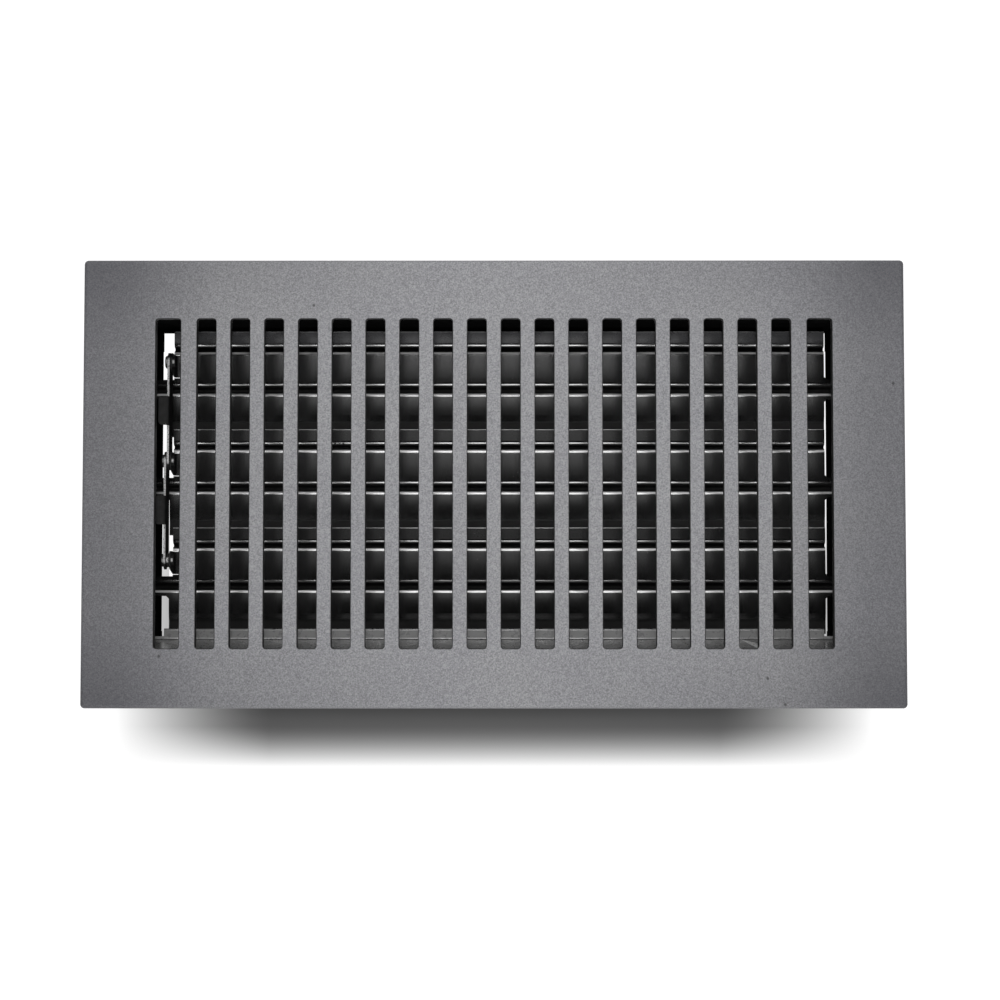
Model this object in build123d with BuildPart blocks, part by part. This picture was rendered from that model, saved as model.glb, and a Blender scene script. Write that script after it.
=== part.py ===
from build123d import *
from math import atan2, cos, degrees, radians, tan
import os

os.makedirs("parts", exist_ok=True)

# Floor register for a duct opening in a floor, in millimetres.
# X runs along the plate, Y from the front to the rear, Z up.
# The origin is the middle of the plate on the floor plane, where its rim rests.

# Duct opening, 12 x 6 inches, that the damper box drops into
duct_length = 304.8
duct_width = 152.4
duct_end_clearance = 0.5
duct_side_clearance = 2.55

# Face plate: one casting, hollow at the back inside a rim
plate_end_overlap = 22.225
plate_side_overlap = 19.05
plate_thickness = 6.35
plate_wall = 3.4
plate_corner_radius = 1.8
plate_edge_radius = 1.6
rim_width = 8.0
back_corner_radius = 3.0

# Slots: an even row, with a wider slot and a wider bar at each end
slot_count = 18
slot_width = 7.92
slot_side_setback = 0.6
slot_end_setback = 4.25
slot_corner_radius = 1.2
slot_edge_radius = 0.5
slot_draft = 2.0
end_slot_width = 10.46
end_bar = 7.1
rib_lift = 0.4
rib_side_setback = 0.6
rib_end_margin = 1.8

# Damper box: folded sheet that hangs from the hollow back
frame_sheet = 0.9
frame_bend = 1.35
flange_width = 9.0
foot_flange = 2.5
foot_room = 1.2
end_foot_flange = 3.0
end_flange_setback = 8.6
end_edge_margin = 2.6
bend_relief = 0.4
rear_lip_room = 5.1
front_lean = 4.5
front_ledge = 4.7
hem_gap = 0.2
hem_flat = 0.02
ledge_end_gap = 4.5
corner_gap = 0.05
tab_height = 8.0
upper_tab_rise = 15.5
lower_tab_drop = 10.5
tab_stand = 1.2
tab_clearance = 0.1

# Blades: roll-formed sheet, shut when flat
blade_names = ("rear", "middle", "front")
blade_sheet = 0.6
blade_bend = 1.8
blade_edge_room = 2.6
trough_radius = 1.45
slab_rise = 1.9
bead_setback = 3.7
bead_half_width = 0.95
bead_depth = 3.0
bead_flat = 0.1
lip_overlap = 4.0
lip_room = 1.0
lip_edge_round = 0.25
crown_slope = 0.048
crown_share = 0.9
joggle_run = 3.6
joggle_room = 2.4
joggle_bend = 3.0
tail_setback = 0.7
seat_gap = 0.3
blade_left_gap = 7.9
tail_left_reach = 1.6
blade_right_gap = 3.6
tongue_half_width = 4.3
tongue_flare = 1.2
tongue_gap = 0.4
journal_stand = 1.5
journal_clearance = 0.08

# Crank ears, link strips and their rivets
crank_offset = 11.0
crank_rise = 11.0
ear_radius = 4.0
ear_start = 5.2
ear_end = 15.0
ear_root = 4.0
ear_relief = 0.2
ear_relief_depth = 2.5
link_sheet = 0.9
link_height = 8.0
link_drop = 7.0
link_side_gap = 0.3
finger_length = 12.5
finger_reach = 3.8
finger_rise = 2.5
finger_corner_radius = 1.5
rivet_radius = 1.5
rivet_clearance = 0.06
rivet_swage_clearance = 0.02
rivet_head_radius = 2.8
rivet_head_height = 1.0
rivet_head_round = 0.8
rivet_tail_radius = 2.2
rivet_tail_height = 1.2
rivet_tail_round = 0.4
spacer_radius = 3.0

# Screws that hold the end plates' flanges
screw_radius = 1.5
screw_grip = 2.4
screw_thread_clearance = 0.05
screw_hole_clearance = 0.2
screw_tip_gap = 0.2
screw_head_radius = 2.8
screw_head_height = 1.5
screw_head_round = 0.9
screw_recess_length = 3.4
screw_recess_width = 0.8
screw_recess_depth = 0.7
screw_inset = 5.2
screw_end_margin = 17.0

# The box fills the duct opening, and the plate overlaps its edges
box_inner_length = duct_length - 2 * (frame_sheet + end_foot_flange + duct_end_clearance)
box_inner_width = duct_width - frame_sheet - 2 * (end_edge_margin + duct_side_clearance)
plate_length = duct_length + 2 * plate_end_overlap
plate_width = duct_width + 2 * plate_side_overlap
seat_z = plate_thickness - plate_wall
end_inner = box_inner_length / 2
end_outer = end_inner + frame_sheet
end_middle = end_inner + frame_sheet / 2
end_flange_length = box_inner_width - 2 * end_flange_setback
wall_middle = box_inner_width / 2 + frame_sheet / 2
rear_bound = wall_middle - rear_lip_room
front_low = front_lean - wall_middle
screw_x = end_outer + screw_inset
screw_y = end_flange_length / 2 - screw_end_margin

# The slots end over the box's walls
slot_length = box_inner_width - 2 * slot_side_setback
slot_field_half = end_inner - slot_end_setback
end_slot_x = slot_field_half - end_slot_width / 2
slot_row_half = slot_field_half - end_slot_width - end_bar
slot_pitch = (2 * slot_row_half - slot_width) / (slot_count - 1)

# The blades share the width between the walls, and the box is as deep as they need to turn.
# The rear blade's lip reaches into the room kept for it along the rear wall.
blade_pitch = (rear_bound - front_low - frame_sheet - blade_edge_room) / len(blade_names)
blade_rows = {name: blade_pitch * (1 - index) for index, name in enumerate(blade_names)}
lip_reach = blade_pitch / 2 + lip_overlap
tail_reach = blade_pitch / 2 - tail_setback
bead_offset = blade_pitch / 2 - bead_setback
joggle_start = blade_pitch - lip_reach - joggle_run - joggle_room
lip_drop = blade_sheet + seat_gap
pivot_z = -lip_reach - lip_room
box_bottom = pivot_z - tail_reach - foot_room
box_depth = -box_bottom
blade_left_end = end_inner - blade_left_gap
tail_left_end = blade_left_end + tail_left_reach
blade_right_end = end_inner - blade_right_gap
journal_radius = trough_radius + blade_sheet / 2
tongue_end = end_inner - tongue_gap
journal_end = end_outer + journal_stand
pin_z = pivot_z + crank_rise
flange_middle = seat_z - frame_sheet / 2
foot_middle = box_bottom + frame_sheet / 2
upper_tab_z = pivot_z + upper_tab_rise
lower_tab_z = pivot_z - lower_tab_drop
through = 2 * plate_length


def bent_section(plane, points, bends, sheet):
    """Section of a sheet that follows a bent middle line, with a bend radius for each corner."""
    with BuildSketch(plane) as section:
        with BuildLine():
            FilletPolyline(*points, radius=bends)
        trace(line_width=sheet)
    return section.sketch


# Face plate
rib_field_x = slot_field_half + rib_end_margin
rib_field_y = slot_length / 2 - rib_side_setback
with BuildPart() as faceplate:
    with BuildSketch():
        RectangleRounded(plate_length, plate_width, plate_corner_radius)
    extrude(amount=plate_thickness)
    fillet(faceplate.faces().sort_by(Axis.Z)[-1].edges(), plate_edge_radius)
    # hollow back between the rim and the ribbed field under the bars
    with BuildSketch():
        RectangleRounded(plate_length - 2 * rim_width, plate_width - 2 * rim_width, back_corner_radius)
        Rectangle(2 * rib_field_x, 2 * rib_field_y, mode=Mode.SUBTRACT)
    extrude(amount=seat_z, mode=Mode.SUBTRACT)
    with BuildSketch():
        RectangleRounded(plate_length - 2 * rim_width, plate_width - 2 * rim_width, back_corner_radius)
    extrude(amount=rib_lift, mode=Mode.SUBTRACT)
    # slots, drafted so that they widen downwards
    with BuildSketch(Plane.XY.offset(plate_thickness)):
        with GridLocations(slot_pitch, 0, slot_count, 1):
            RectangleRounded(slot_width, slot_length, slot_corner_radius)
        with Locations((end_slot_x, 0), (-end_slot_x, 0)):
            RectangleRounded(end_slot_width, slot_length, slot_corner_radius)
    extrude(amount=-plate_thickness, taper=-slot_draft, mode=Mode.SUBTRACT)
    slot_rims = faceplate.faces().sort_by(Axis.Z)[-1].inner_wires()
    fillet([edge for rim in slot_rims for edge in rim.edges()], slot_edge_radius)
    # tapped holes for the frame screws
    with BuildSketch(Plane.XY.offset(seat_z)):
        with GridLocations(2 * screw_x, 2 * screw_y, 2, 2):
            Circle(screw_radius + screw_thread_clearance)
    extrude(amount=screw_grip + screw_tip_gap, mode=Mode.SUBTRACT)
faceplate.part.label = "faceplate"
export_step(faceplate.part, "parts/faceplate.step")

# Middle lines of the two long walls, from the flange under the plate to the foot
tail_top = pivot_z + slab_rise - lip_drop + blade_sheet / 2
nose = front_low + front_ledge
hem_low = tail_top + seat_gap + frame_sheet / 2
hem_high = hem_low + frame_sheet + hem_gap
hem_bend = (frame_sheet + hem_gap - hem_flat) / 2
front_line = [
    (-wall_middle - flange_width, flange_middle),
    (-wall_middle, flange_middle),
    (front_low, hem_high),
    (nose, hem_high),
    (nose, hem_low),
    (front_low, hem_low),
    (front_low, foot_middle),
    (front_low - foot_flange, foot_middle),
]
front_bends = [frame_bend, frame_bend, hem_bend, hem_bend, frame_bend, frame_bend]
rear_line = [
    (wall_middle + flange_width, flange_middle),
    (wall_middle, flange_middle),
    (wall_middle, foot_middle),
    (wall_middle + foot_flange, foot_middle),
]
rear_bends = [frame_bend] * 2

# Rails: each section runs the whole length, then its ends are cut back to the tabs
tab_tip = end_outer + tab_stand
rail_start = Plane.YZ.offset(-tab_tip)
rail_end = end_inner - corner_gap
trim_width = tab_tip - rail_end
trim_x = (tab_tip + rail_end) / 2


def rail_end_trim():
    """Side view of what is cut from both ends of a rail, leaving its tabs."""
    with BuildSketch(Plane.XZ) as trim:
        with Locations((trim_x, 0), (-trim_x, 0)):
            Rectangle(trim_width, 4 * box_depth)
        for tab_z in (upper_tab_z, lower_tab_z):
            with Locations((trim_x, tab_z), (-trim_x, tab_z)):
                Rectangle(trim_width, tab_height, mode=Mode.SUBTRACT)
    return trim.sketch


with BuildPart() as rear_rail:
    extrude(bent_section(rail_start, rear_line, rear_bends, frame_sheet), amount=2 * tab_tip)
    extrude(rail_end_trim(), amount=through, both=True, mode=Mode.SUBTRACT)
rear_rail.part.label = "rear_rail"
export_step(rear_rail.part, "parts/rear_rail.step")

with BuildPart() as front_rail:
    extrude(bent_section(rail_start, front_line, front_bends, frame_sheet), amount=2 * tab_tip)
    extrude(rail_end_trim(), amount=through, both=True, mode=Mode.SUBTRACT)
    # the stop ledge ends short of the end plates
    with BuildSketch(Plane.XY.offset(hem_low - frame_sheet / 2)):
        with Locations((end_inner - ledge_end_gap / 2, nose), (ledge_end_gap / 2 - end_inner, nose)):
            Rectangle(ledge_end_gap, 2 * (front_ledge - frame_bend - frame_sheet / 2))
    extrude(amount=2 * frame_sheet + hem_gap, mode=Mode.SUBTRACT)
front_rail.part.label = "front_rail"
export_step(front_rail.part, "parts/front_rail.step")

# End plates: a web with a screw flange above and a narrow foot flange below
lean_angle = degrees(atan2(wall_middle + front_low, flange_middle - hem_high))
lean_middle = -wall_middle + (flange_middle - upper_tab_z) * tan(radians(lean_angle))
tab_slot = tab_height + 2 * tab_clearance
lean_slot = tab_slot / cos(radians(lean_angle)) + frame_sheet * tan(radians(lean_angle))
rear_edge = wall_middle + end_edge_margin
front_low_edge = front_low - end_edge_margin
web_outline = [
    (rear_edge, seat_z),
    (rear_edge, box_bottom),
    (front_low_edge, box_bottom),
    (front_low_edge, hem_low - end_edge_margin),
    (-rear_edge, upper_tab_z),
    (-rear_edge, seat_z),
]
slot_sheet = frame_sheet + 2 * tab_clearance
straight_tabs = [(wall_middle, lower_tab_z), (front_low, lower_tab_z), (wall_middle, upper_tab_z)]


def make_end_plate(side):
    """End plate at the +X end for side 1, or at the -X end for side -1."""
    web_plane = Plane.YZ.offset(side * end_middle)
    flange_line = [
        (side * (end_outer + flange_width), flange_middle),
        (side * end_middle, flange_middle),
        (side * end_middle, foot_middle),
        (side * (end_outer + end_foot_flange), foot_middle),
    ]
    flange_plane = Plane.XZ.offset(-end_flange_length / 2)
    with BuildPart() as end_plate:
        with BuildSketch(web_plane):
            with BuildLine():
                Polyline(*web_outline, close=True)
            make_face()
            with Locations((0, seat_z), (0, box_bottom)):
                relief = 2 * (frame_bend + frame_sheet)
                Rectangle(end_flange_length + 2 * bend_relief, relief, mode=Mode.SUBTRACT)
        extrude(amount=frame_sheet / 2, both=True)
        flanges = bent_section(flange_plane, flange_line, [frame_bend] * 2, frame_sheet)
        extrude(flanges, amount=end_flange_length)
        with BuildSketch(web_plane):
            with Locations(*[(row, pivot_z) for row in blade_rows.values()]):
                Circle(journal_radius + journal_clearance)
            with Locations(*straight_tabs):
                Rectangle(slot_sheet, tab_slot)
            with Locations((lean_middle, upper_tab_z)):
                Rectangle(slot_sheet, lean_slot, rotation=lean_angle)
        extrude(amount=frame_sheet, both=True, mode=Mode.SUBTRACT)
        with BuildSketch(Plane.XY.offset(seat_z)):
            with Locations((side * screw_x, screw_y), (side * screw_x, -screw_y)):
                Circle(screw_radius + screw_hole_clearance)
        extrude(amount=-2 * frame_sheet, mode=Mode.SUBTRACT)
    return end_plate.part


for name, side in (("left_end_plate", -1), ("right_end_plate", 1)):
    plate = make_end_plate(side)
    plate.label = name
    export_step(plate, f"parts/{name}.step")

# Blades: lip to the rear, tail to the front, both worked out from the pivot.
# The panel on each side of the trough is rolled with a slight crown.
bead_bend = bead_half_width - bead_flat / 2
bead_bottom = slab_rise - bead_depth
rear_panel_half = (bead_offset - bead_half_width - trough_radius) / 2
rear_crown_rise = crown_slope * rear_panel_half
rear_crown_bend = crown_share * (rear_panel_half - blade_bend) / crown_slope
front_panel_half = (joggle_start - trough_radius) / 2
front_crown_rise = crown_slope * front_panel_half
front_crown_bend = crown_share * (front_panel_half - blade_bend) / crown_slope
lip_side = [
    (lip_reach, slab_rise),
    (bead_offset + bead_half_width, slab_rise),
    (bead_offset + bead_half_width, bead_bottom),
    (bead_offset - bead_half_width, bead_bottom),
    (bead_offset - bead_half_width, slab_rise),
    (trough_radius + rear_panel_half, slab_rise + rear_crown_rise),
    (trough_radius, slab_rise),
    (trough_radius, 0),
]
lip_bends = [blade_bend, bead_bend, bead_bend, blade_bend, rear_crown_bend, blade_bend]
tail_side = [
    (-trough_radius, 0),
    (-trough_radius, slab_rise),
    (-trough_radius - front_panel_half, slab_rise + front_crown_rise),
    (-joggle_start, slab_rise),
    (-joggle_start - joggle_run, slab_rise - lip_drop),
    (-tail_reach, slab_rise - lip_drop),
]
tail_bends = [blade_bend, front_crown_bend, joggle_bend, joggle_bend]
tongue_shoulder = tongue_half_width + tongue_flare
plan_rear = lip_reach + blade_sheet
plan_front = -tail_reach - blade_sheet
blade_plan = [
    (tongue_end, -tongue_half_width),
    (tongue_end, tongue_half_width),
    (blade_right_end + tongue_flare, tongue_half_width),
    (blade_right_end, tongue_shoulder),
    (blade_right_end, plan_rear),
    (-blade_left_end, plan_rear),
    (-blade_left_end, tongue_half_width),
    (-tongue_end, tongue_half_width),
    (-tongue_end, -tongue_half_width),
    (-tail_left_end - tongue_flare, -tongue_half_width),
    (-tail_left_end, -tongue_shoulder),
    (-tail_left_end, plan_front),
    (blade_right_end, plan_front),
    (blade_right_end, -tongue_shoulder),
    (blade_right_end + tongue_flare, -tongue_half_width),
]
ear_middle = (ear_start + ear_end) / 2
ear_seat = slab_rise + rear_crown_rise / 2
ear_line = [
    (ear_root - blade_left_end, ear_seat),
    (blade_sheet / 2 - blade_left_end, ear_seat),
    (blade_sheet / 2 - blade_left_end, crank_rise + ear_radius),
]


def make_ear(pivot):
    """Crank ear turned up from the left end of a blade, with its rivet hole."""
    across = Plane(origin=pivot, x_dir=(0, 1, 0), z_dir=(1, 0, 0))
    along = Plane(origin=pivot, x_dir=(1, 0, 0), z_dir=(0, -1, 0))
    with BuildPart() as ear:
        strip = bent_section(along.offset(-ear_end), ear_line, [blade_bend], blade_sheet)
        extrude(strip, amount=ear_end - ear_start)
        with BuildSketch(across.offset(-blade_left_end)):
            with Locations((crank_offset, crank_rise)):
                Circle(ear_radius)
            with Locations((ear_middle, ear_seat)):
                Rectangle(ear_end - ear_start, 2 * blade_sheet)
            make_hull()
        extrude(amount=ear_root, mode=Mode.INTERSECT)
        with BuildSketch(across.offset(-blade_left_end)):
            with Locations((crank_offset, crank_rise)):
                Circle(rivet_radius + rivet_swage_clearance)
        extrude(amount=ear_root, mode=Mode.SUBTRACT)
    return ear.part


def make_blade(row):
    """Blade at its pivot row: a formed strip with tongues, rolled journals and a crank ear."""
    pivot = (0, row, pivot_z)
    across = Plane(origin=pivot, x_dir=(0, 1, 0), z_dir=(1, 0, 0))
    ear = make_ear(pivot)
    with BuildPart() as blade:
        with BuildSketch(across.offset(-tongue_end)):
            with BuildLine():
                FilletPolyline(*lip_side, radius=lip_bends)
                ThreePointArc((trough_radius, 0), (0, -trough_radius), (-trough_radius, 0))
                FilletPolyline(*tail_side, radius=tail_bends)
            trace(line_width=blade_sheet)
        extrude(amount=2 * tongue_end)
        with BuildSketch(Plane(origin=pivot)):
            with BuildLine():
                Polyline(*blade_plan, close=True)
            make_face()
            with Locations((-blade_left_end, ear_middle)):
                Rectangle(2 * ear_relief_depth, ear_end - ear_start + 2 * ear_relief, mode=Mode.SUBTRACT)
        extrude(amount=lip_reach, both=True, mode=Mode.INTERSECT)
        lip_edges = blade.edges().filter_by(Axis.X).group_by(Axis.Y)[-1]
        fillet(lip_edges.sort_by(Axis.Z)[-1], lip_edge_round)
        for start in (tongue_end, -journal_end):
            with BuildSketch(across.offset(start)):
                Circle(journal_radius)
                Circle(journal_radius - blade_sheet, mode=Mode.SUBTRACT)
            extrude(amount=journal_end - tongue_end)
        add(ear)
    return blade.part


for name, row in blade_rows.items():
    blade = make_blade(row)
    blade.label = f"{name}_blade"
    export_step(blade, f"parts/{name}_blade.step")

# Link strips: the rear one lies against the ears, the front one outside it
inner_strip = blade_left_end + link_side_gap
outer_strip = inner_strip + link_sheet + link_side_gap
finger_height = link_height / 2 + finger_rise - link_sheet / 2


def make_link(rear_row, inner_face):
    """Link strip between the pins of two neighbouring blades, with its finger tab folded outwards."""
    middle = (-inner_face - link_sheet / 2, rear_row + crank_offset - blade_pitch / 2, pin_z)
    across = Plane(origin=middle, x_dir=(0, 1, 0), z_dir=(1, 0, 0))
    along = Plane(origin=middle, x_dir=(1, 0, 0), z_dir=(0, -1, 0))
    finger_line = [(0, 0), (0, finger_height), (-finger_reach, finger_height)]
    with BuildPart() as link:
        with BuildSketch(across):
            SlotCenterToCenter(blade_pitch, link_height)
            with Locations((0, -link_drop / 2)):
                Rectangle(blade_pitch, link_drop)
        extrude(amount=link_sheet / 2, both=True)
        finger = bent_section(along.offset(-finger_length / 2), finger_line, [frame_bend], link_sheet)
        extrude(finger, amount=finger_length)
        fillet(link.edges().filter_by(Axis.Z).sort_by(Axis.X)[:2], finger_corner_radius)
        with BuildSketch(across):
            with GridLocations(blade_pitch, 0, 2, 1):
                Circle(rivet_radius + rivet_clearance)
        extrude(amount=link_sheet, both=True, mode=Mode.SUBTRACT)
    return link.part


for name, rear_row, inner_face in (("rear", "rear", inner_strip), ("front", "middle", outer_strip)):
    link = make_link(blade_rows[rear_row], inner_face)
    link.label = f"{name}_link"
    export_step(link, f"parts/{name}_link.step")

# Rivets: a round head outside the strips and a swaged tail inside the ear
ear_back = blade_sheet - blade_left_end


def make_rivet(row, strip_face):
    """Rivet of one blade, with its head just outside the strip face given."""
    pin = Plane(origin=(0, row + crank_offset, pin_z), x_dir=(0, 1, 0), z_dir=(1, 0, 0))
    head_face = -strip_face - link_sheet - link_side_gap
    with BuildPart() as rivet:
        with BuildSketch(pin.offset(head_face)):
            Circle(rivet_radius)
        extrude(amount=ear_back - head_face)
        with BuildSketch(pin.offset(head_face - rivet_head_height)):
            Circle(rivet_head_radius)
        extrude(amount=rivet_head_height)
        fillet(rivet.edges().sort_by(Axis.X)[0], rivet_head_round)
        with BuildSketch(pin.offset(ear_back)):
            Circle(rivet_tail_radius)
        extrude(amount=rivet_tail_height)
        fillet(rivet.edges().sort_by(Axis.X)[-1], rivet_tail_round)
    return rivet.part


for name, row in blade_rows.items():
    rivet = make_rivet(row, inner_strip if name == "rear" else outer_strip)
    rivet.label = f"{name}_link_rivet"
    export_step(rivet, f"parts/{name}_link_rivet.step")

# Spacer that takes the inner strip's place on the front rivet
front_pin_place = (-inner_strip, blade_rows["front"] + crank_offset, pin_z)
front_pin = Plane(origin=front_pin_place, x_dir=(0, 1, 0), z_dir=(1, 0, 0))
with BuildPart() as front_link_spacer:
    with BuildSketch(front_pin):
        Circle(spacer_radius)
        Circle(rivet_radius + rivet_clearance, mode=Mode.SUBTRACT)
    extrude(amount=-link_sheet)
front_link_spacer.part.label = "front_link_spacer"
export_step(front_link_spacer.part, "parts/front_link_spacer.step")

# Frame screws, driven up through the end plates' flanges
screw_head_top = seat_z - frame_sheet
with BuildPart() as frame_screws:
    with BuildSketch(Plane.XY.offset(screw_head_top)):
        with GridLocations(2 * screw_x, 2 * screw_y, 2, 2):
            Circle(screw_radius)
    extrude(amount=frame_sheet + screw_grip)
    with BuildSketch(Plane.XY.offset(screw_head_top)):
        with GridLocations(2 * screw_x, 2 * screw_y, 2, 2):
            Circle(screw_head_radius)
    extrude(amount=-screw_head_height)
    fillet(frame_screws.edges().group_by(Axis.Z)[0], screw_head_round)
    with BuildSketch(Plane.XY.offset(screw_head_top - screw_head_height)):
        with GridLocations(2 * screw_x, 2 * screw_y, 2, 2):
            Rectangle(screw_recess_length, screw_recess_width)
            Rectangle(screw_recess_width, screw_recess_length)
    extrude(amount=screw_recess_depth, mode=Mode.SUBTRACT)
frame_screws.part.label = "frame_screws"
export_step(frame_screws.part, "parts/frame_screws.step")
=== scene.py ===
# %% [markdown]
# # A cast floor register, seen from above
# A floor register covers the end of an air duct. This one has a heavy cast face plate with a row of
# slots, and under it a damper box of folded black sheet with three blades that tip together. The
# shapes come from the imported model, so this lesson is about finish, light and camera.

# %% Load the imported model
import math

import bpy
from mathutils import Matrix, Vector


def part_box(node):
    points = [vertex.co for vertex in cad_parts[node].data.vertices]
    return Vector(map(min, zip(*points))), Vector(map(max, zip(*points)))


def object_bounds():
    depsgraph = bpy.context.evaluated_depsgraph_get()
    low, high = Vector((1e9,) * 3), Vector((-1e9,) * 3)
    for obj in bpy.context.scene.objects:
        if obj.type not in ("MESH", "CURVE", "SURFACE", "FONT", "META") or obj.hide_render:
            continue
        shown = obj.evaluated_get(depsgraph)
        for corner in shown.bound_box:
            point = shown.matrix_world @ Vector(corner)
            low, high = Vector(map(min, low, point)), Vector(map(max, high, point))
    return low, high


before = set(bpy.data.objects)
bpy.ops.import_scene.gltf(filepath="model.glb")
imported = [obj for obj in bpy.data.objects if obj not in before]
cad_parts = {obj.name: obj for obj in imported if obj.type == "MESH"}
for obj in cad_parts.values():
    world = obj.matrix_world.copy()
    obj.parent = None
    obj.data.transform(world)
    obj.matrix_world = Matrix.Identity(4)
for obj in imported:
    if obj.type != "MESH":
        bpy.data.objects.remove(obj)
cad_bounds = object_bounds()
MM = 0.001
print("nodes:", ", ".join(sorted(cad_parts)))
print("box of the solids in mm:", [[round(v / MM, 2) for v in corner] for corner in cad_bounds])

# %% [markdown]
# ## A short way to write shader nodes
# A procedural finish is a small tree of nodes. Making each node takes three or four lines of code, so
# one helper makes a node, sets its options and fills or links its inputs in a single call. The others
# build on it: a sum, a product of masks, a mix of two colours, and a stretch from one range to another.


# %% Node helpers
def fill(tree, node, inputs):
    """Sets a node's inputs by name or number, or links them where a socket is given."""
    for socket, value in inputs.items():
        if isinstance(value, bpy.types.NodeSocket):
            tree.links.new(value, node.inputs[socket])
        else:
            node.inputs[socket].default_value = value


def shader_node(tree, kind, inputs, **options):
    """Adds a node, sets its options and fills its inputs."""
    made = tree.nodes.new(kind)
    for option, value in options.items():
        setattr(made, option, value)
    fill(tree, made, inputs)
    return made


def math_node(tree, operation, first, second=0.0):
    """One sum on two values or sockets; gives back the result's socket."""
    return shader_node(tree, "ShaderNodeMath", {0: first, 1: second}, operation=operation).outputs[0]


def times(tree, first, *others):
    """The product of two or more masks."""
    for other in others:
        first = math_node(tree, "MULTIPLY", first, other)
    return first


def mix_colour(tree, factor, colour_a, colour_b):
    """Colour between two colours or sockets, by a factor."""
    inputs = {0: factor, 6: colour_a, 7: colour_b}
    return shader_node(tree, "ShaderNodeMix", inputs, data_type="RGBA").outputs[2]


def remap(tree, value, low, high, out_low=0.0, out_high=1.0, kind="LINEAR"):
    """Stretches a value from one range to another, and holds it there."""
    inputs = {"Value": value, "From Min": low, "From Max": high, "To Min": out_low, "To Max": out_high}
    return shader_node(tree, "ShaderNodeMapRange", inputs, interpolation_type=kind).outputs[0]


def remap_mm(tree, length, low, high, out_low=0.0, out_high=1.0, kind="LINEAR"):
    """The same for a length, whose range is given in millimetres."""
    return remap(tree, length, low * MM, high * MM, out_low, out_high, kind)


def axes(tree, vector):
    """The three parts of a place or of a direction."""
    return shader_node(tree, "ShaderNodeSeparateXYZ", {0: vector}).outputs[:3]


# %% [markdown]
# ## What every finish starts from
# Each finish needs a material, the place of a point on the surface, and the way that the surface faces
# there. Both are read in the model's own frame, so a mask moves with its piece. Noise then stands for
# everything that is uneven on a real surface, and its size is given in millimetres, as one would measure it.


# %% Finish helpers
def grey(level, blue=0.0):
    """A grey with a little blue in it."""
    return (level, level, level * (1 + blue), 1)


def new_finish(name):
    """A material; gives back it, its tree and shader, and its surface's place and facing."""
    finish = bpy.data.materials.new(name)
    finish.use_nodes = True
    tree = finish.node_tree
    surface = tree.nodes.new("ShaderNodeTexCoord").outputs
    return finish, tree, tree.nodes["Principled BSDF"], surface["Object"], surface["Normal"]


def noise(tree, place, size_mm, detail=3.0, roughness=0.55):
    """Cloudy noise whose blots are about this size; gives back its value."""
    inputs = {"Vector": place, "Scale": 1 / (size_mm * MM), "Detail": detail, "Roughness": roughness}
    return shader_node(tree, "ShaderNodeTexNoise", inputs).outputs[0]


def coat(nodes, finish):
    """Gives a finish to some of the model's nodes."""
    for node in nodes:
        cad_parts[node].material_slots[0].material = finish
    print(finish.name, "on", len(nodes), "nodes")


# %% [markdown]
# ## The face plate's cast and coated surface
# The plate is poured in a sand mould, so its skin keeps the sand's grain under a thin grey coat. An image
# of the real skin would tie the finish to one picture. Noise at three sizes gives the same look from any
# side: soft clouds, sand grain, and a finer bite in the grain.

# %% Face plate grain
PLATE_GREY = 0.3
CLOUD_MM, SAND_MM, BITE_MM = 45, 0.55, 0.35
cast_face, tree, shader, place, facing = new_finish("cast_face")
clouds = noise(tree, place, CLOUD_MM, 2)
sand = noise(tree, place, SAND_MM, 1.5, 0.6)
bite = noise(tree, place, BITE_MM, 1, 0.5)
clouded = remap(tree, clouds, 0.35, 0.65)
tone = mix_colour(tree, clouded, grey(PLATE_GREY * 0.97, 0.06), grey(PLATE_GREY * 1.03, 0.04))
pits = remap(tree, sand, 0.5, 0.28, 0.0, 0.7)
tone = mix_colour(tree, pits, tone, grey(PLATE_GREY * 0.5, 0.04))
tips = remap(tree, sand, 0.5, 0.72, 0.0, 0.65)
tone = mix_colour(tree, tips, tone, grey(PLATE_GREY * 1.6, 0.02))
print("grain of", SAND_MM, "mm")

# %% [markdown]
# ## Painted shade at the ends and in the slots, and a few specks
# The plate's tone is not even. It is darker towards the ends and corners, and black where the slots' edges turn
# down; both are painted shade, standing in for light that falls off and for the shade in the slots. Masks made from
# place and facing find those parts. A few dark specks show where the coat missed.

# %% Face plate tone
ENDS_MM, LONG_EDGES_MM, TOWARDS_CORNERS_MM = (112, 168), (55, 92), (10, 120)
SLOT_FIELD_X_MM, SLOT_FIELD_Y_MM = (160, 156), (84, 80)
SPECK_RADIUS_MM = 0.8
SPECKS_MM = [
    (-76.6, 75.8, 6.3), (115.5, -82.6, 6.3), (122.9, -93.6, 6.3), (169.6, 42.4, 6.3), (-141.4, -73.3, 6.3)
]


def spot(tree, place, centre_mm, radius_mm):
    """1 near a point, fading to 0 at a radius from it."""
    centre = [value * MM for value in centre_mm]
    inputs = {0: place, 1: centre}
    gap = shader_node(tree, "ShaderNodeVectorMath", inputs, operation="DISTANCE").outputs["Value"]
    return remap_mm(tree, gap, radius_mm, radius_mm / 2)


def spots(tree, place, centres_mm, radius_mm):
    """The mask of several spots."""
    mask = 0.0
    for centre_mm in centres_mm:
        mask = math_node(tree, "MAXIMUM", mask, spot(tree, place, centre_mm, radius_mm))
    return mask


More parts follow.
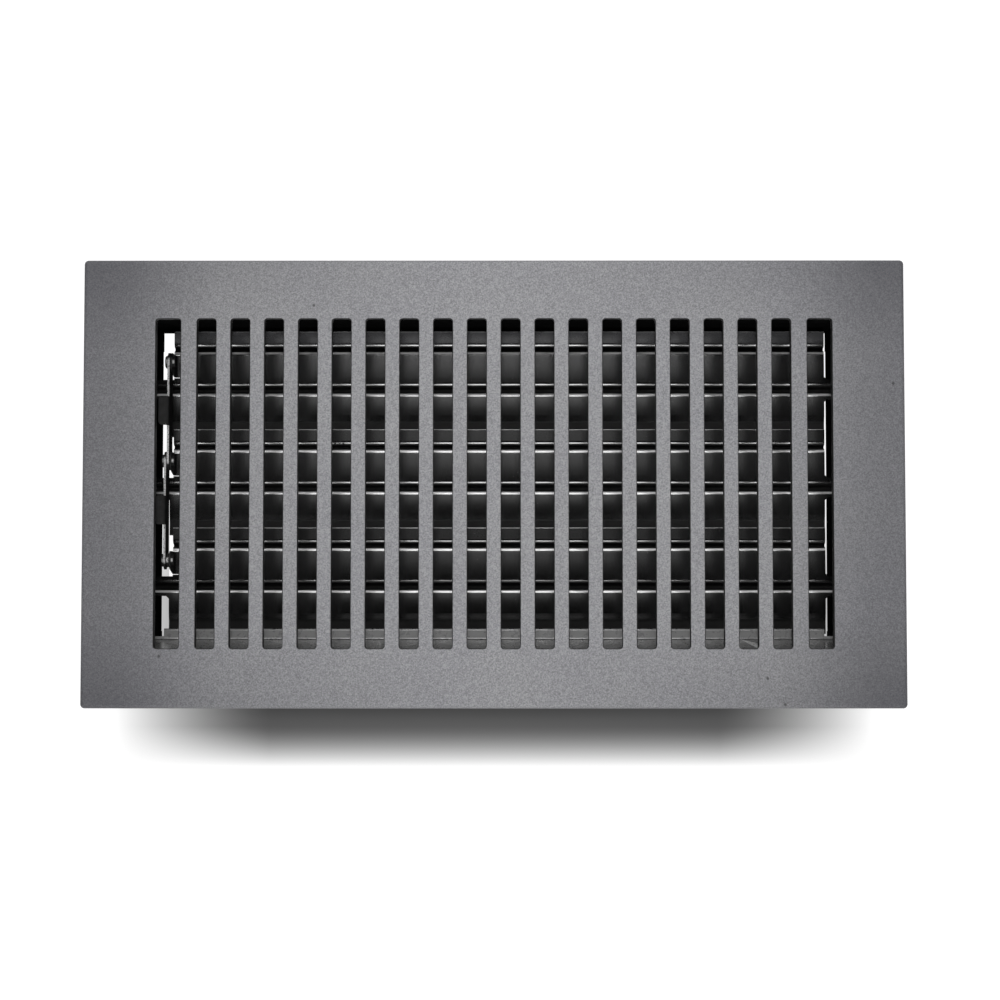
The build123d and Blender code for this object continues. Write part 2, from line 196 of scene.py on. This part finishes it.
along, across = [math_node(tree, "ABSOLUTE", part) for part in axes(tree, place)[:2]]
# Painted shade: the ends and corners are darkened where the light falls off.
ends = remap_mm(tree, along, *ENDS_MM, 0.0, 0.42, "SMOOTHSTEP")
towards_corners = remap_mm(tree, along, *TOWARDS_CORNERS_MM, 0.0, 0.22)
long_edges = times(tree, remap_mm(tree, across, *LONG_EDGES_MM), towards_corners)
tone = mix_colour(tree, math_node(tree, "ADD", ends, long_edges), tone, grey(0.05, 0.25))
# Painted shade: the slots' edges that turn down are made black, where shade falls in the slots.
turned_down = remap(tree, math_node(tree, "ABSOLUTE", axes(tree, facing)[2]), 0.98, 0.86)
slot_field = times(tree, remap_mm(tree, along, *SLOT_FIELD_X_MM), remap_mm(tree, across, *SLOT_FIELD_Y_MM))
tone = mix_colour(tree, times(tree, turned_down, slot_field), tone, grey(0.02))
specks = spots(tree, place, SPECKS_MM, SPECK_RADIUS_MM)
tone = mix_colour(tree, times(tree, specks, 0.75), tone, grey(0.04))
print(len(SPECKS_MM), "specks")

# %% [markdown]
# ## The relief of the grain
# The grain also stands up a little, so it catches light. A bump of less than a tenth of a millimetre is
# enough for that, and the tips of the grain are polished smoother than its pits.

# %% Face plate relief
GRAIN_HEIGHT_MM = 0.08
height = math_node(tree, "ADD", sand, times(tree, bite, 0.5))
grain = shader_node(tree, "ShaderNodeBump", {"Height": height, "Strength": 0.7, "Distance": GRAIN_HEIGHT_MM * MM})
fill(tree, shader, {
    "Base Color": tone,
    "Roughness": remap(tree, sand, 0.3, 0.7, 0.66, 0.48),
    "Normal": grain.outputs[0],
    "Specular IOR Level": 0.45,
})
coat(["faceplate"], cast_face)

# %% [markdown]
# ## Dust, painted light and a painted highlight on the blades
# The blades are rolled from thin sheet and dipped in black enamel, which needs almost no colour of its own. Dust
# lies on what faces up. The rear lip under the plate's rim is painted grey as if lit, which is painted light, and
# the shoulders that face the rear carry a pale painted highlight. Each of these is a mask made from the surface's
# place and facing.

# %% Blade dust, painted light and painted highlight
REAR_LIP_Y_MM, HIGHLIGHT_Z_MM = (61, 65), (-24.9, -24.7)
damper_black, tree, shader, place, facing = new_finish("damper_black")
handling = noise(tree, place, 14, 4, 0.6)
dust_grain = noise(tree, place, 0.45, 2, 0.7)
rearward, up = axes(tree, facing)[1:]
across, depth = axes(tree, place)[1:]
dust = times(
    tree, remap(tree, up, 0.75, 1.0), remap(tree, handling, 0.45, 0.75), remap(tree, dust_grain, 0.45, 0.7)
)
tone = mix_colour(tree, handling, grey(0.003), grey(0.005, 0.05))
tone = mix_colour(tree, times(tree, dust, 0.2), tone, grey(0.06))
# Painted light: the rear lip under the plate's rim is made grey, as if lit there.
rear_lip_painted_light = times(tree, remap(tree, up, 0.9, 1.0), remap_mm(tree, across, *REAR_LIP_Y_MM))
rear_lip_painted_light = times(tree, rear_lip_painted_light, remap(tree, handling, 0.2, 0.6, 0.5, 1.0))
tone = mix_colour(tree, rear_lip_painted_light, tone, grey(0.13, 0.05))
# Painted highlight: a pale line on each shoulder that faces the rear.
shoulder = times(tree, remap(tree, rearward, 0.15, 0.35), remap(tree, rearward, 0.98, 0.85))
painted_highlight = times(tree, shoulder, remap_mm(tree, depth, *HIGHLIGHT_Z_MM), remap(tree, handling, 0.2, 0.5))
tone = mix_colour(tree, painted_highlight, tone, grey(0.8))
print("shoulders rubbed above", HIGHLIGHT_Z_MM[0], "mm")

# %% [markdown]
# ## The enamel film on the blades
# Enamel is a smooth film with a faint ripple, so it mirrors lamps softly, and that draws a bright line along each
# bend, beside the painted highlight on the shoulders that face the rear. The shader's coat is that film. It is
# missing on the low tails, in the grooves, on the crank ears and at a few nicks, which stay dull.

# %% Blade film
GROOVE_Z_MM, EAR_Z_MM = (-24.8, -25.15), (-23.7, -23.2)
RIPPLE_HEIGHT_MM = 0.04
NICK_RADIUS_MM = 0.9
NICKS_MM = [(-67.6, 18.9, -24.4), (-65.9, 19.0, -24.5), (-69.6, 19.1, -24.4), (98.2, -18.2, -24.3)]
BLADES = ["rear_blade", "middle_blade", "front_blade"]
dull = math_node(tree, "MAXIMUM", remap_mm(tree, depth, *GROOVE_Z_MM), remap_mm(tree, depth, *EAR_Z_MM))
dull = math_node(tree, "MAXIMUM", dull, spots(tree, place, NICKS_MM, NICK_RADIUS_MM))
roughness = math_node(tree, "ADD", remap(tree, handling, 0.3, 0.7, 0.2, 0.25), times(tree, dust, 0.15))
roughness = math_node(tree, "ADD", roughness, times(tree, dull, 0.4))
height = noise(tree, place, 1.6, 2)
ripple = shader_node(tree, "ShaderNodeBump", {"Height": height, "Strength": 0.1, "Distance": RIPPLE_HEIGHT_MM * MM})
fill(tree, shader, {
    "Base Color": mix_colour(tree, dull, tone, grey(0.003)),
    "Roughness": roughness,
    "Normal": ripple.outputs[0],
    "IOR": 1.6,
    "Coat Weight": remap(tree, dull, 0.0, 1.0, 1.0, 0.0),
    "Coat Roughness": 0.19,
    "Coat IOR": 2.7,
})
coat(BLADES, damper_black)

# %% [markdown]
# ## Painted light on the front rail
# The front rail's ledge and leaning wall lie open below the slots' ends, and their enamel is painted grey as if
# lit, which is painted light, most of all on the level ledge. The outside of the rail stays black. A face is on the
# outside when it looks away from the middle of the box, which a product of place and facing tells.

# %% Front rail painted light
OUTWARD_MM = (10, 30)


def outer_face(tree, place, facing):
    """1 on faces that look away from the middle of the box, and 0 on the faces inside it."""
    level = shader_node(tree, "ShaderNodeVectorMath", {0: place, 1: (1, 1, 0)}, operation="MULTIPLY").outputs[0]
    inputs = {0: level, 1: facing}
    outward = shader_node(tree, "ShaderNodeVectorMath", inputs, operation="DOT_PRODUCT").outputs["Value"]
    return remap_mm(tree, outward, *OUTWARD_MM)


rail_painted_light, tree, shader, place, facing = new_finish("rail_painted_light")
rail_mottle = noise(tree, place, 2.5, 4, 0.65)
# Painted light: the rail's inside is made grey, as if lit.
tone = mix_colour(tree, remap(tree, rail_mottle, 0.3, 0.7), grey(0.062), grey(0.095))
# Painted light: the level ledge is made lighter still.
level_ledge = remap(tree, axes(tree, facing)[2], 0.8, 0.98, 0.0, 0.9)
tone = mix_colour(tree, level_ledge, tone, grey(0.36))
print("outside from", OUTWARD_MM[0], "mm outward")

# %% [markdown]
# ## A scrape on the front rail
# In one place the leaning wall has been scraped, which leaves a pale fan that opens to the right. The fan
# is found from the slope of the line between its start and any point of the wall: where the slope lies
# between two values, the point is inside it.

# %% Front rail scrape
SCRAPE_START_X_MM, SCRAPE_START_Z_MM = 107.0, -22.9
SCRAPE_END_X_MM = (113.3, 112.5)
along, _, depth = axes(tree, place)
run = math_node(tree, "SUBTRACT", along, SCRAPE_START_X_MM * MM)
rise = math_node(tree, "SUBTRACT", depth, SCRAPE_START_Z_MM * MM)
slope = math_node(tree, "DIVIDE", rise, math_node(tree, "MAXIMUM", run, 0.01 * MM))
fan = times(tree, remap(tree, slope, 1.3, 1.7), remap(tree, slope, 4.4, 3.8))
fan = times(tree, fan, remap_mm(tree, along, *SCRAPE_END_X_MM))
flecks = remap(tree, noise(tree, place, 0.8, 2, 0.6), 0.3, 0.55, 0.4, 1.0)
tone = mix_colour(tree, times(tree, fan, flecks), tone, grey(0.95))
fill(tree, shader, {
    "Base Color": mix_colour(tree, outer_face(tree, place, facing), tone, grey(0.02)),
    "Roughness": remap(tree, rail_mottle, 0.3, 0.7, 0.24, 0.34),
    "IOR": 2.0,
    "Coat Weight": 0.5,
    "Coat Roughness": 0.2,
})
coat(["front_rail"], rail_painted_light)

# %% [markdown]
# ## Rubbed black and a painted highlight on the links
# The two link strips and their rivets slide against each other, so their black has gone dull. The strips' top edges
# are pale, partly rubbed down to bare metal and partly a painted highlight. The edge is found from the surface
# itself: it faces up and lies at the strips' height, below the finger tabs.

# %% Link finish
BELOW_TABS_Z_MM = (-10.8, -11.0)
LINKS = ["rear_link", "front_link", "front_link_spacer"]
RIVETS = ["rear_link_rivet", "middle_link_rivet", "front_link_rivet"]
link_black, tree, shader, place, facing = new_finish("link_black")
smudge = noise(tree, place, 3, 3, 0.6)
scratch = noise(tree, place, 0.6, 3, 0.6)
below_tabs = remap_mm(tree, axes(tree, place)[2], *BELOW_TABS_Z_MM)
# Painted highlight, partly rubbed bare metal: the strips' top edges are made pale.
painted_highlight = times(tree, remap(tree, axes(tree, facing)[2], 0.9, 0.99), remap(tree, scratch, 0.3, 0.5), below_tabs)
tone = mix_colour(tree, smudge, grey(0.02), grey(0.045))
fill(tree, shader, {
    "Base Color": mix_colour(tree, painted_highlight, tone, grey(0.62)),
    "Roughness": remap(tree, smudge, 0.3, 0.7, 0.8, 0.6),
    "Specular IOR Level": 0.0,
})
coat(LINKS + RIVETS, link_black)

# %% [markdown]
# ## Dull black on the box's upright walls
# Inside the box the rear wall and the end walls face the moving air and soot settles on them, so they
# stay black even at a low angle, where a film of enamel would mirror the ground below. A finish without
# any mirror part does that. Outside, the same sheet keeps a satin film, which a clear coat gives back.

# %% Wall finish
wall_black, tree, shader, place, facing = new_finish("wall_black")
soot = noise(tree, place, 6, 4, 0.6)
outer = outer_face(tree, place, facing)
sooty = mix_colour(tree, soot, grey(0.004), grey(0.014))
satin = mix_colour(tree, soot, grey(0.014), grey(0.035, 0.05))
fill(tree, shader, {
    "Base Color": mix_colour(tree, outer, sooty, satin),
    "Roughness": remap(tree, soot, 0.3, 0.7, 0.8, 0.6),
    "Specular IOR Level": 0.0,
    "Coat Weight": times(tree, outer, 0.7),
    "Coat Roughness": 0.35,
})
coat(["rear_rail", "left_end_plate", "right_end_plate"], wall_black)

# %% [markdown]
# ## Dull plated steel for the screws
# Small screws are plated and then tumbled, which leaves a dull metal with fine scratches. A metal's
# colour is the colour of its reflections, so the shader is fully metallic, and noise in its roughness
# breaks up the shine.

# %% Fastener finish
fastener_steel, tree, shader, place, facing = new_finish("fastener_steel")
tumbling = noise(tree, place, 0.7, 4, 0.65)
fill(tree, shader, {
    "Base Color": mix_colour(tree, tumbling, grey(0.16), grey(0.34, 0.02)),
    "Roughness": remap(tree, tumbling, 0.3, 0.7, 0.5, 0.32),
    "Metallic": 1.0,
})
coat(["frame_screws"], fastener_steel)

# %% [markdown]
# ## A white floor with a cast and painted shadow
# The photograph has a plain white ground. A floor that glows only where it is seen is white without lighting the
# register. In front of the plate it glows less, which paints the shape of a soft shadow there, and the shadow that
# the plate casts shows through it. The glow is raised to a power, so that the shadow fades evenly to the eye.

# %% Floor material
SHADOW_SIDES_MM, SHADOW_REAR_MM = (170, 100), (0, -50)
SHADOW_FADES_MM, SHADOW_FULL_MM = 28, 9.5
EVEN_TO_THE_EYE = 2.2
plate_low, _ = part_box("faceplate")


def seen_rays(tree):
    """1 for rays from the camera, from gloss and through glass, and 0 for the rays that light things."""
    path = tree.nodes.new("ShaderNodeLightPath").outputs
    seen = math_node(tree, "MAXIMUM", path["Is Camera Ray"], path["Is Glossy Ray"])
    return math_node(tree, "MAXIMUM", seen, path["Is Transmission Ray"])


def glowing_white(name, glow_in_shadow):
    """A white material that glows where it is seen, less in front of the plate."""
    white = bpy.data.materials.new(name)
    white.use_nodes = True
    tree = white.node_tree
    tree.nodes.remove(tree.nodes["Principled BSDF"])
    along, across, _ = axes(tree, tree.nodes.new("ShaderNodeTexCoord").outputs["Object"])
    sides = remap_mm(tree, math_node(tree, "ABSOLUTE", along), *SHADOW_SIDES_MM)
    front = remap(tree, across, plate_low.y - SHADOW_FADES_MM * MM, plate_low.y - SHADOW_FULL_MM * MM)
    # Painted shadow: the glow is lowered in a patch in front of the plate.
    shadow = times(tree, sides, front, remap_mm(tree, across, *SHADOW_REAR_MM))
    glow = remap(tree, shadow, 0.0, 1.0, 1.0, glow_in_shadow)
    strength = times(tree, math_node(tree, "POWER", glow, EVEN_TO_THE_EYE), seen_rays(tree))
    matt = shader_node(tree, "ShaderNodeBsdfDiffuse", {"Color": grey(0.17)})
    light = shader_node(tree, "ShaderNodeEmission", {"Strength": strength})
    both = shader_node(tree, "ShaderNodeAddShader", {0: matt.outputs[0], 1: light.outputs[0]})
    tree.links.new(both.outputs[0], tree.nodes["Material Output"].inputs["Surface"])
    return white


print("shadow fades out", SHADOW_FADES_MM, "mm in front of the plate")

# %% [markdown]
# ## The floor and a card under the box
# The register stands on its box, so the floor lies at the box's lowest point. A white card a hair above the floor,
# inside the box, glows white though it lies in the box's shade, which is painted light, and makes the gaps at the
# blades' ends read white.

# %% Floor and card
FLOOR_HALF_MM, CARD_HALF_X_MM, CARD_HALF_Y_MM = 4000, 145, 60
CARD_LIFT_MM = 0.2


def flat_sheet(name, half_x, half_y, z, white):
    """A rectangle that lies level at a height."""
    corners = [(-half_x, -half_y, z), (half_x, -half_y, z), (half_x, half_y, z), (-half_x, half_y, z)]
    mesh = bpy.data.meshes.new(name)
    mesh.from_pydata(corners, [], [(0, 1, 2, 3)])
    mesh.materials.append(white)
    sheet = bpy.data.objects.new(name, mesh)
    bpy.context.scene.collection.objects.link(sheet)


floor_z = cad_bounds[0][2]
floor_half = FLOOR_HALF_MM * MM
flat_sheet("floor", floor_half, floor_half, floor_z, glowing_white("floor_white", 0.12))
# Painted light: the card glows fully though the box shades it.
card_white = glowing_white("card_white", 1.0)
flat_sheet("card", CARD_HALF_X_MM * MM, CARD_HALF_Y_MM * MM, floor_z + CARD_LIFT_MM * MM, card_white)
print("floor at", round(floor_z / MM, 2), "mm")

# %% [markdown]
# ## Studio lamps
# A spot high above lights the plate and falls off towards its ends. It is hidden from gloss, so it leaves
# no dot on the blades. Two soft boxes on the plate's long sides draw a line along each bend, each on its
# own side.


# %% Lamps
def aim(thing, target):
    """Turns a lamp or camera to a point, with the plate's rear side up in the picture."""
    back = (thing.location - Vector(target)).normalized()
    right = Vector((0, 1, 0)).cross(back).normalized()
    turn = Matrix((right, back.cross(right), back)).transposed()
    thing.rotation_euler = turn.to_euler()


def lamp(name, kind, place, target, power, **options):
    """A lamp at a place, aimed at a point."""
    light = bpy.data.lights.new(name, kind)
    light.energy = power
    for option, value in options.items():
        setattr(light, option, value)
    made = bpy.data.objects.new(name, light)
    made.location = place
    bpy.context.scene.collection.objects.link(made)
    aim(made, target)
    print(name, "at", power, "W")
    return made


key = lamp(
    "key_spot", "SPOT", (0, 0.03, 1.09), (0.01, 0.015, 0), 15,
    spot_size=math.radians(26.5), spot_blend=1.0, shadow_soft_size=0.08,
)
key.visible_glossy = False
lamp("rear_soft", "AREA", (0, 0.8, 0.895), (0, 0, 0), 7.2, shape="RECTANGLE", size=0.75, size_y=0.9)
lamp("front_soft", "AREA", (0, -0.98, 0.69), (0, 0, 0), 6.3, shape="RECTANGLE", size=0.75, size_y=0.62)

# %% [markdown]
# ## The sky that the enamel mirrors
# The blades' flats mirror what is above them. The sky that gloss sees is dark overhead, grey a little to
# the rear and white near the ground, which shades each flat from its rear to its front. The sky lights the
# rest only dimly, so nothing is washed out.

# %% Sky
SKY_LIGHT = 0.08
SKY_REAR = 0.26
sky = bpy.data.worlds.new("sky")
bpy.context.scene.world = sky
sky.use_nodes = True
tree = sky.node_tree
aside, rearward, upward = axes(tree, tree.nodes.new("ShaderNodeTexCoord").outputs["Generated"])
overhead = math_node(
    tree, "ADD", remap(tree, rearward, 0.0, 0.04, 0.0, 0.25), remap(tree, rearward, 0.06, 0.1, 0.0, 0.75)
)
towards_ends = remap(tree, math_node(tree, "ABSOLUTE", aside), 0.02, 0.25, 1.0, 0.5)
overhead = times(tree, overhead, SKY_REAR, towards_ends)
near_ground = remap(tree, upward, 0.1, 0.4, 1.0, 0.0)
seen_sky = math_node(tree, "MAXIMUM", near_ground, overhead)
extra = times(tree, seen_rays(tree), math_node(tree, "SUBTRACT", seen_sky, SKY_LIGHT))
strength = math_node(tree, "ADD", extra, SKY_LIGHT)
fill(tree, tree.nodes["Background"], {"Color": grey(1.0), "Strength": strength})
bpy.context.scene.view_settings.view_transform = "Standard"
print("sky lights at", SKY_LIGHT)

# %% [markdown]
# ## The camera
# The photograph looks almost straight down, from a little in front, so the rear wall of the box shows
# as a dark band in each slot. A long lens from one metre keeps the plate's edges nearly parallel.

# %% Camera
CAMERA_MM = (5.0, -65.0, 1006.35)
AIM_MM = (2.65, -7.2, 6.35)
PIXELS_PER_MM = 2.3608
IMAGE_PIXELS = 1000
SENSOR_MM = 36.0
viewpoint = Vector(CAMERA_MM) * MM
target = Vector(AIM_MM) * MM
optics = bpy.data.cameras.new("camera")
optics.sensor_width = SENSOR_MM
optics.lens = PIXELS_PER_MM * (viewpoint - target).length / MM * SENSOR_MM / IMAGE_PIXELS
camera = bpy.data.objects.new("camera", optics)
camera.location = viewpoint
bpy.context.scene.collection.objects.link(camera)
aim(camera, target)
bpy.context.scene.camera = camera
print("lens", round(optics.lens, 2), "mm")
